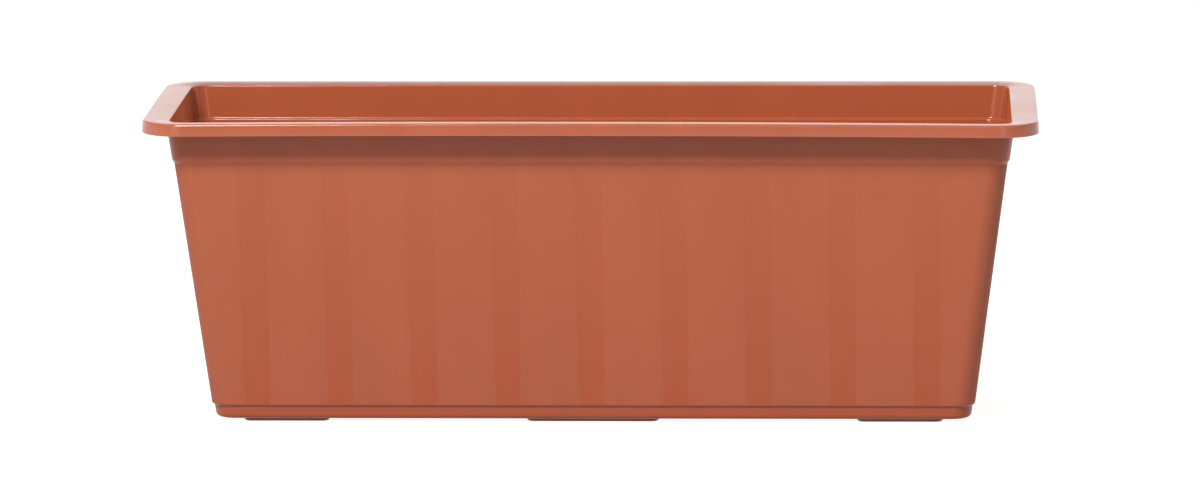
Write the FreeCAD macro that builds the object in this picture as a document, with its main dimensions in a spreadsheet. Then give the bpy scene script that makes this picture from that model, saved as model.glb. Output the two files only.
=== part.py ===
"""Window box planter: a tapered, moulded trough with six push-in drain plugs.

+X runs along the box, -Y is the front, +Z is up. The origin is the centre of the plane that the
box stands on. All sizes are millimetres.
"""

import FreeCAD
import Part
import math
import os
import Sketcher

SIZES = {
    # Overall box, measured over the rim and down to the underside of the feet.
    "rim_length": 500.0,
    "rim_width": 180.0,
    "total_height": 175.0,
    # Rim: a flat flange that turns down into a lip.
    "rim_corner": 25.0,
    "rim_overhang": 13.4,
    "rim_edge_round": 2.4,
    "flange_thickness": 2.0,
    "lip_drop": 7.0,
    "lip_thickness": 2.0,
    "mouth_chamfer": 0.8,
    # Walls: one draft angle all round, with a step under the collar and one above the base.
    "wall_thickness": 2.0,
    "wall_draft": 7.25,
    "body_corner": 11.6,
    "collar_drop": 23.5,
    "collar_step": 0.9,
    "collar_chamfer": 1.0,
    "ledge_rise": 4.3,
    "base_height": 6.2,
    "base_step": 1.4,
    "base_chamfer": 2.0,
    "base_round": 4.0,
    # Floor, and the hollow feet that are pressed down out of it.
    "floor_thickness": 2.0,
    "floor_chamfer": 2.0,
    "foot_height": 2.2,
    "foot_draft": 35.0,
    "foot_corner": 4.0,
    "foot_front_inset": 5.8,
    "foot_end_inset": 16.3,
    "foot_plug_gap": 1.5,
    "end_foot_length": 47.0,
    "middle_foot_length": 73.0,
    # Smooth upright bands, sunk a little into the textured walls.
    "band_width": 15.0,
    "band_pitch": 47.0,
    "band_depth": 0.3,
    # Gussets that stiffen the lip from inside.
    "gusset_thickness": 1.6,
    "gusset_drop": 3.5,
    # Drain holes and their plugs.
    "drain_hole": 12.0,
    "drain_column_pitch": 130.0,
    "drain_row_pitch": 32.0,
    "plug_clearance": 0.08,
    "plug_seat_gap": 0.1,
    "plug_head": 19.0,
    "plug_head_thickness": 1.6,
    "plug_wall": 1.6,
    "plug_reach": 1.0,
    "tab_length": 9.0,
    "tab_width": 2.2,
    "tab_height": 3.6,
    "tab_draft": 4.0,
}

doc = FreeCAD.newDocument("window_box")
sheet = doc.addObject("Spreadsheet::Sheet", "sizes")
for row, (alias, size) in enumerate(SIZES.items(), start=1):
    sheet.set(f"A{row}", alias)
    sheet.set(f"B{row}", str(size))
    sheet.setAlias(f"B{row}", alias)
doc.recompute()


# ------------------------------------------------------------------ expressions over the sheet

HALF_LENGTH = "sizes.rim_length / 2"
HALF_WIDTH = "sizes.rim_width / 2"
TOP = "sizes.total_height"
FLANGE_UNDERSIDE = "(sizes.total_height - sizes.flange_thickness)"
LIP_BOTTOM = "(sizes.total_height - sizes.lip_drop)"
MOUTH_EDGE = "(sizes.total_height - sizes.mouth_chamfer)"
COLLAR_BOTTOM = "(sizes.total_height - sizes.collar_drop)"
BODY_TOP = f"({COLLAR_BOTTOM} - sizes.collar_chamfer)"
LEDGE_TOP = f"({COLLAR_BOTTOM} + sizes.ledge_rise)"
LEDGE_BOTTOM = f"({LEDGE_TOP} - sizes.collar_chamfer)"
FLOOR_UNDERSIDE = "sizes.foot_height"
FLOOR_TOP = "(sizes.foot_height + sizes.floor_thickness)"
FLOOR_EDGE = f"({FLOOR_TOP} + sizes.floor_chamfer)"
BASE_TOP = "(sizes.foot_height + sizes.base_height)"
BODY_BOTTOM = f"({BASE_TOP} + sizes.base_chamfer)"

# How far each stretch of wall is stepped in from the straight run of the collar.
COLLAR_STEPS = "0"
BODY_STEPS = "sizes.collar_step"
BASE_STEPS = "(sizes.collar_step + sizes.base_step)"


def wall_inset(height, steps):
    """How far the wall's outer face stands inside the rim's outline at a height."""
    return f"(sizes.rim_overhang + (sizes.total_height - {height}) * tan(sizes.wall_draft * 1 deg) + {steps})"


def value(expression):
    """The number that an expression over the sheet comes to."""
    found = sheet.evalExpression(expression)
    return float(getattr(found, "Value", found))


# ------------------------------------------------------------------ bodies, sketches, features

PAD = "PartDesign::Pad"
POCKET = "PartDesign::Pocket"

def new_body(label):
    body = doc.addObject("PartDesign::Body", label)
    body.Label = label
    return body


def origin_feature(body, role):
    return next(feature for feature in body.Origin.OriginFeatures if feature.Role == role)


def new_sketch(body, name, plane, offset):
    """A sketch on one of the body's origin planes, moved along that plane's normal."""
    sketch = body.newObject("Sketcher::SketchObject", name)
    sketch.AttachmentSupport = [(origin_feature(body, plane), "")]
    sketch.MapMode = "FlatFace"
    sketch.setExpression("AttachmentOffset.Base.z", offset)
    return sketch


def bind(sketch, expression, kind, *geometry):
    """Adds a size to a sketch and ties it to the sheet."""
    index = sketch.addConstraint(Sketcher.Constraint(kind, *geometry, value(expression)))
    sketch.setExpression(f"Constraints[{index}]", expression)


def rounded_rectangle(sketch, left, right, front, back, corner):
    """Four lines joined by four tangent arcs, with each side held by its distance from the origin."""
    x0, x1, y0, y1, r = (value(side) for side in (left, right, front, back, corner))
    centres = [(x1 - r, y0 + r, 270), (x1 - r, y1 - r, 0), (x0 + r, y1 - r, 90), (x0 + r, y0 + r, 180)]
    arcs = []
    for x, y, start in centres:
        circle = Part.Circle(FreeCAD.Vector(x, y, 0), FreeCAD.Vector(0, 0, 1), r)
        arc = Part.ArcOfCircle(circle, math.radians(start), math.radians(start + 90))
        arcs.append(sketch.addGeometry(arc))
    lines = []
    for arc, following in zip(arcs, arcs[1:] + arcs[:1]):
        line = Part.LineSegment(sketch.getPoint(arc, 2), sketch.getPoint(following, 1))
        lines.append(sketch.addGeometry(line))
        sketch.addConstraint(Sketcher.Constraint("Tangent", arc, 2, lines[-1], 1))
        sketch.addConstraint(Sketcher.Constraint("Tangent", lines[-1], 2, following, 1))
    right_side, back_side, left_side, front_side = lines
    for line in (right_side, left_side):
        sketch.addConstraint(Sketcher.Constraint("Vertical", line))
    for line in (back_side, front_side):
        sketch.addConstraint(Sketcher.Constraint("Horizontal", line))
    for arc in arcs[1:]:
        sketch.addConstraint(Sketcher.Constraint("Equal", arcs[0], arc))
    bind(sketch, corner, "Radius", arcs[0])
    bind(sketch, left, "DistanceX", -1, 1, left_side, 1)
    bind(sketch, right, "DistanceX", -1, 1, right_side, 1)
    bind(sketch, front, "DistanceY", -1, 1, front_side, 1)
    bind(sketch, back, "DistanceY", -1, 1, back_side, 1)


def polygon(sketch, corners):
    """A closed outline through corners, each given as a pair of expressions."""
    points = [FreeCAD.Vector(value(x), value(y), 0) for x, y in corners]
    lines = []
    for begin, end in zip(points, points[1:] + points[:1]):
        lines.append(sketch.addGeometry(Part.LineSegment(begin, end)))
    for n, line in enumerate(lines):
        sketch.addConstraint(Sketcher.Constraint("Coincident", lines[n - 1], 2, line, 1))
    for line, (x, y) in zip(lines, corners):
        bind(sketch, x, "DistanceX", -1, 1, line, 1)
        bind(sketch, y, "DistanceY", -1, 1, line, 1)


def cut_rectangle(sketch, left, right, front, back, corner):
    """A rectangle whose four corners are cut off straight."""
    polygon(sketch, [
        (f"{left} + {corner}", front),
        (f"{right} - {corner}", front),
        (right, f"{front} + {corner}"),
        (right, f"{back} - {corner}"),
        (f"{right} - {corner}", back),
        (f"{left} + {corner}", back),
        (left, f"{back} - {corner}"),
        (left, f"{front} + {corner}"),
    ])


def plan_outline(body, name, height, inset, corner):
    """The box's outline in plan at a height, a given distance inside the rim's own outline."""
    sketch = new_sketch(body, name, "XY_Plane", height)
    x = f"({HALF_LENGTH} - {inset})"
    y = f"({HALF_WIDTH} - {inset})"
    rounded_rectangle(sketch, f"-{x}", x, f"-{y}", y, corner)
    return sketch


def loft(body, kind, name, stations):
    """A ruled loft through plan outlines, given as (height, inset, corner) from the bottom up."""
    outlines = []
    for n, (height, inset, corner) in enumerate(stations, start=1):
        outlines.append(plan_outline(body, f"{name}_outline_{n}", height, inset, corner))
    feature = body.newObject(kind, name)
    feature.Profile = outlines[0]
    feature.Sections = outlines[1:]
    feature.Ruled = True
    doc.recompute()
    return feature


def extrude(body, kind, name, sketch, length, taper="0", side="One side", upward=False):
    """A pad or a pocket whose length and taper follow the sheet; a pocket cuts down unless told."""
    feature = body.newObject(kind, name)
    feature.Profile = sketch
    feature.SideType = side
    feature.Reversed = upward
    feature.setExpression("Length", length)
    feature.setExpression("TaperAngle", taper)
    doc.recompute()
    return feature


def repeat(body, feature, axis, pitch, count):
    """Copies a feature along one of the body's axes."""
    pattern = body.newObject("PartDesign::LinearPattern", f"{feature.Name}_row")
    pattern.Originals = [feature]
    pattern.Direction = (origin_feature(body, axis), [""])
    pattern.Mode = "Spacing"
    pattern.setExpression("Offset", pitch)
    pattern.setExpression("Occurrences", count)
    body.Tip = pattern
    doc.recompute()
    return pattern


def outline_distance(point, inset, corner):
    """How far a point lies from the plan outline at an inset."""
    x = abs(point.x) - value(f"{HALF_LENGTH} - {inset} - {corner}")
    y = abs(point.y) - value(f"{HALF_WIDTH} - {inset} - {corner}")
    outside = math.hypot(max(x, 0.0), max(y, 0.0))
    return abs(outside + min(max(x, y), 0.0) - value(corner))


def edges_on_outline(feature, height, inset, corner):
    """Names of the edges that run along a plan outline at a height."""
    names = []
    for n, edge in enumerate(feature.Shape.Edges, start=1):
        points = [edge.valueAt(edge.FirstParameter), edge.valueAt(edge.LastParameter), edge.CenterOfMass]
        level = all(abs(point.z - value(height)) < 0.01 for point in points)
        ends = all(outline_distance(point, inset, corner) < 0.01 for point in points[:2])
        if level and ends and outline_distance(points[2], inset, corner) < value(corner) / 2:
            names.append(f"Edge{n}")
    return names


def fillet(body, name, base, edges, radius):
    feature = body.newObject("PartDesign::Fillet", name)
    feature.Base = (base, edges)
    feature.setExpression("Radius", radius)
    doc.recompute()
    return feature


# ------------------------------------------------------------------ trough

trough = new_body("trough")
CORNER = "sizes.body_corner"
INNER_CORNER = "(sizes.body_corner - sizes.wall_thickness)"


def inner_inset(height, steps):
    """How far the wall's inner face stands inside the rim's outline at a height."""
    return f"({wall_inset(height, steps)} + sizes.wall_thickness)"


def base_turn(angle):
    """A station on the rounded lower edge of the base, at an angle down from the horizontal."""
    withdrawn = f"sizes.base_round * (1 - cos({angle} deg))"
    height = f"({FLOOR_UNDERSIDE} + sizes.base_round * (1 - sin({angle} deg)))"
    return (height, f"({wall_inset(height, BASE_STEPS)} + {withdrawn})", f"({CORNER} - {withdrawn})")


# The outside: rounded base band, chamfer, drafted body, small step out, collar up to the flange.
loft(trough, "PartDesign::AdditiveLoft", "walls", [
    base_turn(90),
    base_turn(60),
    base_turn(30),
    base_turn(0),
    (BASE_TOP, wall_inset(BASE_TOP, BASE_STEPS), CORNER),
    (BODY_BOTTOM, wall_inset(BODY_BOTTOM, BODY_STEPS), CORNER),
    (BODY_TOP, wall_inset(BODY_TOP, BODY_STEPS), CORNER),
    (COLLAR_BOTTOM, wall_inset(COLLAR_BOTTOM, COLLAR_STEPS), CORNER),
    (FLANGE_UNDERSIDE, wall_inset(FLANGE_UNDERSIDE, COLLAR_STEPS), CORNER),
])

# The flat flange, and the lip that hangs from its outer edge.
RIM_CORNER = "sizes.rim_corner"
LIP_X = f"({HALF_LENGTH} - sizes.lip_thickness)"
LIP_Y = f"({HALF_WIDTH} - sizes.lip_thickness)"
LIP_CORNER = "(sizes.rim_corner - sizes.lip_thickness)"
flange_outline = plan_outline(trough, "flange_outline", FLANGE_UNDERSIDE, "0", RIM_CORNER)
extrude(trough, PAD, "flange", flange_outline, "sizes.flange_thickness")
lip_outline = plan_outline(trough, "lip_outline", LIP_BOTTOM, "0", RIM_CORNER)
rounded_rectangle(lip_outline, f"-{LIP_X}", LIP_X, f"-{LIP_Y}", LIP_Y, LIP_CORNER)
extrude(trough, PAD, "lip", lip_outline, "sizes.lip_drop - sizes.flange_thickness")

# The inside follows the outside at the wall's thickness, with a stacking ledge behind the collar
# and small chamfers at the mouth and round the floor.
loft(trough, "PartDesign::SubtractiveLoft", "cavity", [
    (FLOOR_TOP, f"({inner_inset(FLOOR_EDGE, BASE_STEPS)} + sizes.floor_chamfer)", INNER_CORNER),
    (FLOOR_EDGE, inner_inset(FLOOR_EDGE, BASE_STEPS), INNER_CORNER),
    (BASE_TOP, inner_inset(BASE_TOP, BASE_STEPS), INNER_CORNER),
    (BODY_BOTTOM, inner_inset(BODY_BOTTOM, BODY_STEPS), INNER_CORNER),
    (LEDGE_BOTTOM, inner_inset(LEDGE_BOTTOM, BODY_STEPS), INNER_CORNER),
    (LEDGE_TOP, inner_inset(LEDGE_TOP, COLLAR_STEPS), INNER_CORNER),
    (MOUTH_EDGE, inner_inset(MOUTH_EDGE, COLLAR_STEPS), INNER_CORNER),
    (TOP, f"({inner_inset(MOUTH_EDGE, COLLAR_STEPS)} - sizes.mouth_chamfer)", INNER_CORNER),
])


# Six feet in two rows, drawn at the ground and drafted outwards up to the floor. Each reaches
# from near the wall back to a small gap beside the heads of the drain plugs.
FOOT_SLOPE = "sizes.foot_draft * 1 deg"
PLUGS_REACH = "(sizes.drain_row_pitch / 2 + sizes.plug_head / 2)"
FOOT_NEAR = f"({PLUGS_REACH} + sizes.foot_plug_gap + sizes.foot_height * tan({FOOT_SLOPE}))"


def feet_outline(name, height, shrink, draw):
    """Three feet along the front edge of the base and three along the back."""
    sketch = new_sketch(trough, name, "XY_Plane", height)
    base = wall_inset(FLOOR_UNDERSIDE, BASE_STEPS)
    outer = f"({HALF_WIDTH} - {base} - sizes.foot_front_inset)"
    end = f"({HALF_LENGTH} - {base} - sizes.foot_end_inset)"
    near, far = f"({FOOT_NEAR} + {shrink})", f"({outer} - {shrink})"
    begin, stop = f"({end} - sizes.end_foot_length + {shrink})", f"({end} - {shrink})"
    middle = f"(sizes.middle_foot_length / 2 - {shrink})"
    corner = f"(sizes.foot_corner - {shrink})"
    for left, right in ((f"-{stop}", f"-{begin}"), (f"-{middle}", middle), (begin, stop)):
        draw(sketch, left, right, f"-{far}", f"-{near}", corner)
        draw(sketch, left, right, near, far, corner)
    return sketch


feet = feet_outline("feet_outline", "0", "0", rounded_rectangle)
extrude(trough, PAD, "feet", feet, "sizes.foot_height", taper="sizes.foot_draft")

# Each foot is hollow from above, so that the floor keeps its thickness down its slopes too.
FOOT_WALL = f"(sizes.floor_thickness * (1 / cos({FOOT_SLOPE}) - tan({FOOT_SLOPE})))"
hollows = feet_outline("hollows_outline", "sizes.floor_thickness", FOOT_WALL, cut_rectangle)
extrude(trough, POCKET, "foot_hollows", hollows, "sizes.foot_height", taper="sizes.foot_draft", upward=True)

# Two rows of drain holes between the rows of feet.
COLUMNS = {"left": "-sizes.drain_column_pitch", "middle": "0", "right": "sizes.drain_column_pitch"}
ROWS = {"front": "-sizes.drain_row_pitch / 2", "rear": "sizes.drain_row_pitch / 2"}
drains = new_sketch(trough, "drain_outline", "XY_Plane", FLOOR_TOP)
for x in COLUMNS.values():
    for y in ROWS.values():
        centre = FreeCAD.Vector(value(x), value(y), 0)
        hole = Part.Circle(centre, FreeCAD.Vector(0, 0, 1), value("sizes.drain_hole / 2"))
        circle = drains.addGeometry(hole)
        bind(drains, "sizes.drain_hole / 2", "Radius", circle)
        bind(drains, x, "DistanceX", -1, 1, circle, 3)
        bind(drains, y, "DistanceY", -1, 1, circle, 3)
trough_solid = extrude(trough, POCKET, "drain_holes", drains, "sizes.floor_thickness")

# The rim's outer edge, rounded all the way round.
rim_edges = edges_on_outline(trough_solid, TOP, "0", RIM_CORNER)
fillet(trough, "rim_edge_round", trough_solid, rim_edges, "sizes.rim_edge_round")


# Bands and gussets share their stations: as many along each wall as its flat holds.
def stations_along(half):
    """The number of bands that fit on the flat of a wall, between its rounded corners."""
    flat = f"({half} - {wall_inset(BODY_BOTTOM, BODY_STEPS)} - {CORNER})"
    return f"(floor((2 * {flat} - sizes.band_width) / sizes.band_pitch) + 1)"


def on_facing_walls(walls, kind, name, profile, width):
    """Draws one profile on two facing walls, extrudes it and repeats it along them."""
    count = stations_along(walls["along"])
    start = f"{walls['start']} * ({count} - 1) / 2 * sizes.band_pitch"
    sketch = new_sketch(trough, f"{walls['name']}_{name}_profile", walls["plane"], start)
    for side in ("", "-"):
        polygon(sketch, [(f"{side}({across})", height) for across, height in profile])
    first = extrude(trough, kind, f"{walls['name']}_{name}", sketch, width, side="Symmetric")
    repeat(trough, first, walls["axis"], "sizes.band_pitch", count)


def gusset_profile(half):
    """From within the lip to the middle of the wall, under the flange."""
    bottom = f"({FLANGE_UNDERSIDE} - sizes.gusset_drop)"
    lip = f"{half} - sizes.lip_thickness / 2"
    root = f"{half} - {wall_inset(bottom, COLLAR_STEPS)} - sizes.wall_thickness / 2"
    return [(lip, bottom), (lip, FLANGE_UNDERSIDE), (root, FLANGE_UNDERSIDE), (root, bottom)]


def band_profile(half):
    """A thin sloping strip from just outside the wall in to the band's depth."""
    low = f"{half} - {wall_inset(BODY_BOTTOM, BODY_STEPS)}"
    high = f"{half} - {wall_inset(BODY_TOP, BODY_STEPS)}"
    depth = "sizes.band_depth / cos(sizes.wall_draft * 1 deg)"
    inner = [(f"{high} - {depth}", BODY_TOP), (f"{low} - {depth}", BODY_BOTTOM)]
    outer = [(f"{low} + sizes.base_step", BODY_BOTTOM), (f"{high} + sizes.base_step", BODY_TOP)]
    return inner + outer


# The plane across the side walls faces +X and the plane across the end walls faces -Y, so the
# first station lies behind the plane on the sides and in front of it on the ends.
SIDE_WALLS = {
    "name": "side",
    "across": HALF_WIDTH,
    "along": HALF_LENGTH,
    "plane": "YZ_Plane",
    "axis": "X_Axis",
    "start": -1,
}
END_WALLS = {
    "name": "end",
    "across": HALF_LENGTH,
    "along": HALF_WIDTH,
    "plane": "XZ_Plane",
    "axis": "Y_Axis",
    "start": 1,
}
for walls in (SIDE_WALLS, END_WALLS):
    on_facing_walls(walls, PAD, "gussets", gusset_profile(walls["across"]), "sizes.gusset_thickness")
    on_facing_walls(walls, POCKET, "bands", band_profile(walls["across"]), "sizes.band_width")


# ------------------------------------------------------------------ drain plugs

STEM = "(sizes.drain_hole / 2 - sizes.plug_clearance)"
STEM_END = "-(sizes.plug_seat_gap + sizes.floor_thickness + sizes.plug_reach)"


def drain_plug(label, x, y):
    """A shallow hollow plug with a flat head and a grip tab, standing in one drain hole."""
    body = new_body(label)
    section = new_sketch(body, f"{label}_section", "XZ_Plane", "0")
    polygon(section, [
        ("0", "0"),
        (f"{STEM} - sizes.plug_wall", "0"),
        (f"{STEM} - sizes.plug_wall", STEM_END),
        (STEM, STEM_END),
        (STEM, "0"),
        ("sizes.plug_head / 2", "0"),
        ("sizes.plug_head / 2", "sizes.plug_head_thickness"),
        ("0", "sizes.plug_head_thickness"),
    ])
    turned = body.newObject("PartDesign::Revolution", f"{label}_turned")
    turned.Profile = section
    turned.ReferenceAxis = (section, ["V_Axis"])
    tab = new_sketch(body, f"{label}_tab_outline", "XY_Plane", "sizes.plug_head_thickness")
    x_end, y_end = "sizes.tab_length / 2", "sizes.tab_width / 2"
    polygon(tab, [(f"-{x_end}", f"-{y_end}"), (x_end, f"-{y_end}"), (x_end, y_end), (f"-{x_end}", y_end)])
    extrude(body, PAD, f"{label}_tab", tab, "sizes.tab_height", taper="-sizes.tab_draft")
    body.setExpression("Placement.Base.x", x)
    body.setExpression("Placement.Base.y", y)
    body.setExpression("Placement.Base.z", f"{FLOOR_TOP} + sizes.plug_seat_gap")
    return body


plugs = []
for row, y in ROWS.items():
    for column, x in COLUMNS.items():
        plugs.append(drain_plug(f"drain_plug_{row}_{column}", x, y))
doc.recompute()


# ------------------------------------------------------------------ checks and files

VOLUME_CHANGE = {PAD: 1, POCKET: -1, "PartDesign::SubtractiveLoft": -1}
for item in doc.Objects:
    if "Invalid" in item.State or "Error" in item.State:
        raise RuntimeError(f"{item.Label}: {item.State}")
    if item.TypeId in VOLUME_CHANGE and item.BaseFeature:
        gained = item.Shape.Volume - item.BaseFeature.Shape.Volume
        if gained * VOLUME_CHANGE[item.TypeId] <= 0:
            raise RuntimeError(f"{item.Label} changes the volume by {gained}")

os.makedirs("parts", exist_ok=True)
for body in [trough] + plugs:
    shape = body.Shape
    if shape.isNull() or not shape.isValid() or len(shape.Solids) != 1:
        raise RuntimeError(f"{body.Label} isn't one valid solid")
    shape.exportStep(f"parts/{body.Label}.step")
    print(f"{body.Label}: {shape.Volume:.0f} mm3, {len(shape.Faces)} faces")
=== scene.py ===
# %% [markdown]
# # A window box planter
#
# The object is a long terracotta-coloured window box: one injection moulding with a turned-down
# rim, and six small plugs that close its drain holes. It could be modelled from nothing, but its
# solids exist already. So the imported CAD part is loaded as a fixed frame, and everything made here
# sits in that frame, in metres, with +X along the box, -Y at the front and +Z up.

# %% Load the frame
import math

import bmesh
import bpy
import numpy as np
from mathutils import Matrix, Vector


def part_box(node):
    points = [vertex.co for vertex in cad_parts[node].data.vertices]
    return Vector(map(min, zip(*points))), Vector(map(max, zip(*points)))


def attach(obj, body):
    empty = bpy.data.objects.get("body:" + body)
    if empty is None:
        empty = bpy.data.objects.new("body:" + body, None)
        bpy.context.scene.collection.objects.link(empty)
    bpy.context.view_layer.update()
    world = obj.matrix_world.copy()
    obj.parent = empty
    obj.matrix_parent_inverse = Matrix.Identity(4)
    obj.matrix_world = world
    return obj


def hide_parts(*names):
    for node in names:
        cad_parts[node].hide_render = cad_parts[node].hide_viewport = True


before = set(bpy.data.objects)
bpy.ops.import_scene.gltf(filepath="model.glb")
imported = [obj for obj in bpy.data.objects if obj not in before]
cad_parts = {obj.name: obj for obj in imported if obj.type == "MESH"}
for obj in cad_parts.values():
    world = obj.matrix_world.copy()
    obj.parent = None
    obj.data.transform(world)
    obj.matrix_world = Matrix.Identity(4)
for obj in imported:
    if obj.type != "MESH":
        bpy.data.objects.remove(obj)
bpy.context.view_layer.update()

# %% [markdown]
# ## Sizes
#
# A moulder's drawing gives a box like this as one cross-section with a few heights and steps. The
# numbers could be typed wherever a surface needs them, but then two surfaces that meet could
# disagree. So they are named once, in millimetres, and the overall box is taken from the frame,
# which keeps the looks from drifting away from the part.

# %% Sizes of the moulding
MM = 0.001
HALF_LENGTH, HALF_WIDTH, TOP = np.array(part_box("trough")[1]) / MM
# The rim: its corner seen from above, how far it overhangs the wall, and its two lower faces.
RIM_CORNER = 25.0
OVERHANG = 13.4
FLANGE_UNDERSIDE = TOP - 2.0
LIP_BOTTOM = TOP - 7.0
# The wall: its thickness, its slope, its corner, and its steps inwards at the collar and the base.
WALL = 2.0
SLOPE = math.tan(math.radians(7.25))
BODY_CORNER = RIM_CORNER - OVERHANG
COLLAR_STEP = 0.9
BASE_STEP = 1.2
# The collar's lower edge, the top of the body under it, and the stacking ledge inside.
COLLAR_BOTTOM = TOP - 23.5
BODY_TOP = COLLAR_BOTTOM - 2.4
LEDGE_TOP = COLLAR_BOTTOM + 4.3
LEDGE_BEVEL = 1.0
# The body's lower end, the foot of the groove under it outside, and the same step inside.
BODY_BOTTOM = 10.6
GROOVE_FOOT = 9.1
BASE_TOP = 8.4
# The floor's two faces. The feet are pressed down out of it as far as the ground at zero.
FLOOR_TOP = 4.2
FLOOR_UNDERSIDE = 2.2
print(f"half length {HALF_LENGTH:.1f}, half width {HALF_WIDTH:.1f}, height {TOP:.1f} mm")


# %% [markdown]
# ## From grids to meshes
#
# Every surface below is a grid of points worked out with numpy. The pieces could be built face by
# face in Edit Mode, but a grid becomes quads in one line, and grids that share their edge points
# can be welded into one closed skin. The face normals are then weighted by area, so that large
# flats stay flat beside small rounded edges.

# %% Quads of a grid
def quads(rows, columns, closed):
    """Corner numbers of the quads of a rows x columns grid of points, closed round its columns."""
    numbers = np.arange(rows * columns).reshape(rows, columns)
    if closed:
        numbers = np.hstack([numbers, numbers[:, :1]])
    around = [numbers[:-1, :-1], numbers[:-1, 1:], numbers[1:, 1:], numbers[1:, :-1]]
    return np.stack(around, axis=-1).reshape(-1, 4)


print("a closed grid of 2 x 3 points has the quads", quads(2, 3, closed=True).tolist())

# %% Weld surfaces into one skin
# Points closer than this, in metres, are one point.
WELD = 2e-6
# Weight of large faces in a corner's normal. 50 is neutral, and more makes large faces count more.
LARGE_FACES = 80


def skin(name, surfaces, materials):
    """Welds surfaces, each (points, faces, finish of each face), into one object at the origin."""
    points = np.vstack([p.reshape(-1, 3) for p, _, _ in surfaces]) * MM
    starts = np.cumsum([0] + [p.size // 3 for p, _, _ in surfaces])[:-1]
    faces = np.vstack([f + start for (_, f, _), start in zip(surfaces, starts)])
    mesh = bpy.data.meshes.new(name)
    mesh.from_pydata(points, [], faces)
    finish = np.concatenate([np.broadcast_to(m, len(f)) for _, f, m in surfaces])
    mesh.polygons.foreach_set("material_index", finish.astype(np.int32))
    work = bmesh.new()
    work.from_mesh(mesh)
    bmesh.ops.remove_doubles(work, verts=work.verts, dist=WELD)
    bmesh.ops.recalc_face_normals(work, faces=work.faces)
    work.to_mesh(mesh)
    open_edges = sum(1 for edge in work.edges if not edge.is_manifold)
    work.free()
    mesh.shade_smooth()
    for material in materials:
        mesh.materials.append(material)
    piece = bpy.data.objects.new(name, mesh)
    bpy.context.scene.collection.objects.link(piece)
    weighted = piece.modifiers.new("area_weighted_normals", "WEIGHTED_NORMAL")
    weighted.mode = "FACE_AREA"
    weighted.weight = LARGE_FACES
    print(f"{name}: {len(mesh.vertices)} points, {len(mesh.polygons)} faces, {open_edges} open edges")
    return piece


print("points are welded when nearer than", WELD / MM, "mm")


# %% [markdown]
# ## Nodes and colours
#
# The finishes, the floor and the world are all trees of shader nodes. They could be wired by hand
# in the node editor. One small function that adds a node with its settings and links does the
# same, and lets a tree be read from top to bottom. Colours are written as a picture shows them,
# in sRGB hex, and turned to the linear values that the renderer works with.

# %% One node, one colour
def add(tree, kind, settings, inputs):
    """Adds a shader node, sets its properties, and fills or links its inputs."""
    node = tree.nodes.new("ShaderNode" + kind)
    for name, setting in settings.items():
        setattr(node, name, setting)
    for name, source in inputs.items():
        if isinstance(source, bpy.types.NodeSocket):
            tree.links.new(source, node.inputs[name])
        else:
            node.inputs[name].default_value = source
    return node


def linear(code):
    """An sRGB hex colour as linear RGBA: c / 12.92 below 0.04045, else ((c + 0.055) / 1.055) ^ 2.4."""
    c = np.array([int(code[n:n + 2], 16) for n in (1, 3, 5)]) / 255
    rgb = np.where(c <= 0.04045, c / 12.92, ((c + 0.055) / 1.055) ** 2.4)
    return (*rgb.tolist(), 1.0)


WHITE = linear("#FFFFFF")
print("mid grey #808080 is", round(linear("#808080")[0], 3), "in linear light")


# %% [markdown]
# ## Light paths
#
# The object stands on white paper in a catalogue studio. Enough lamps would make the paper white,
# but they would also wash out the object. So the floor and the world are white only for rays that
# come from the camera, off a gloss or through glass. Light that scatters meets a plain grey floor
# and a world of its own, so the white reaches the object only as a reflection.

# %% Which rays see the white
def seen_or_mirrored(tree):
    """Is Camera Ray + Is Glossy Ray + Is Transmission Ray, held to 1. Scattered light is 0."""
    path = add(tree, "LightPath", {}, {})
    total = path.outputs["Is Camera Ray"]
    for ray in ("Is Glossy Ray", "Is Transmission Ray"):
        settings = {"operation": "ADD", "use_clamp": True}
        total = add(tree, "Math", settings, {0: total, 1: path.outputs[ray]}).outputs[0]
    return total


world = bpy.data.worlds.new("studio")
bpy.context.scene.world = world
world.use_nodes = True
tree = world.node_tree
tree.nodes.clear()
white_share = seen_or_mirrored(tree)
print("nodes that tell the rays apart:", len(tree.nodes))

# %% [markdown]
# ## The studio around the object
#
# A glossy rim shows what stands round it. A picture of a real studio could be wrapped round the
# world, but a few soft steps over the direction of a ray are enough, and each can be moved on its
# own. What a gloss mirrors is a white backdrop behind, up to its top edge, and in front a dim room
# with two tall soft boxes. The light that scatters is brightest near the horizon and from behind,
# as paper that curves up behind an object gives it.

# %% Soft steps over the direction of a ray
direction = add(tree, "TexCoord", {}, {}).outputs["Generated"]
along, depth, rise = add(tree, "SeparateXYZ", {}, {"Vector": direction}).outputs
# How far across an upright wall in front the ray lands: along / max(-depth, a little).
forward = add(tree, "Math", {"operation": "MULTIPLY"}, {0: depth, 1: -1.0}).outputs[0]
forward = add(tree, "Math", {"operation": "MAXIMUM"}, {0: forward, 1: 0.02}).outputs[0]
side = add(tree, "Math", {"operation": "DIVIDE"}, {0: along, 1: forward}).outputs[0]
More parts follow.
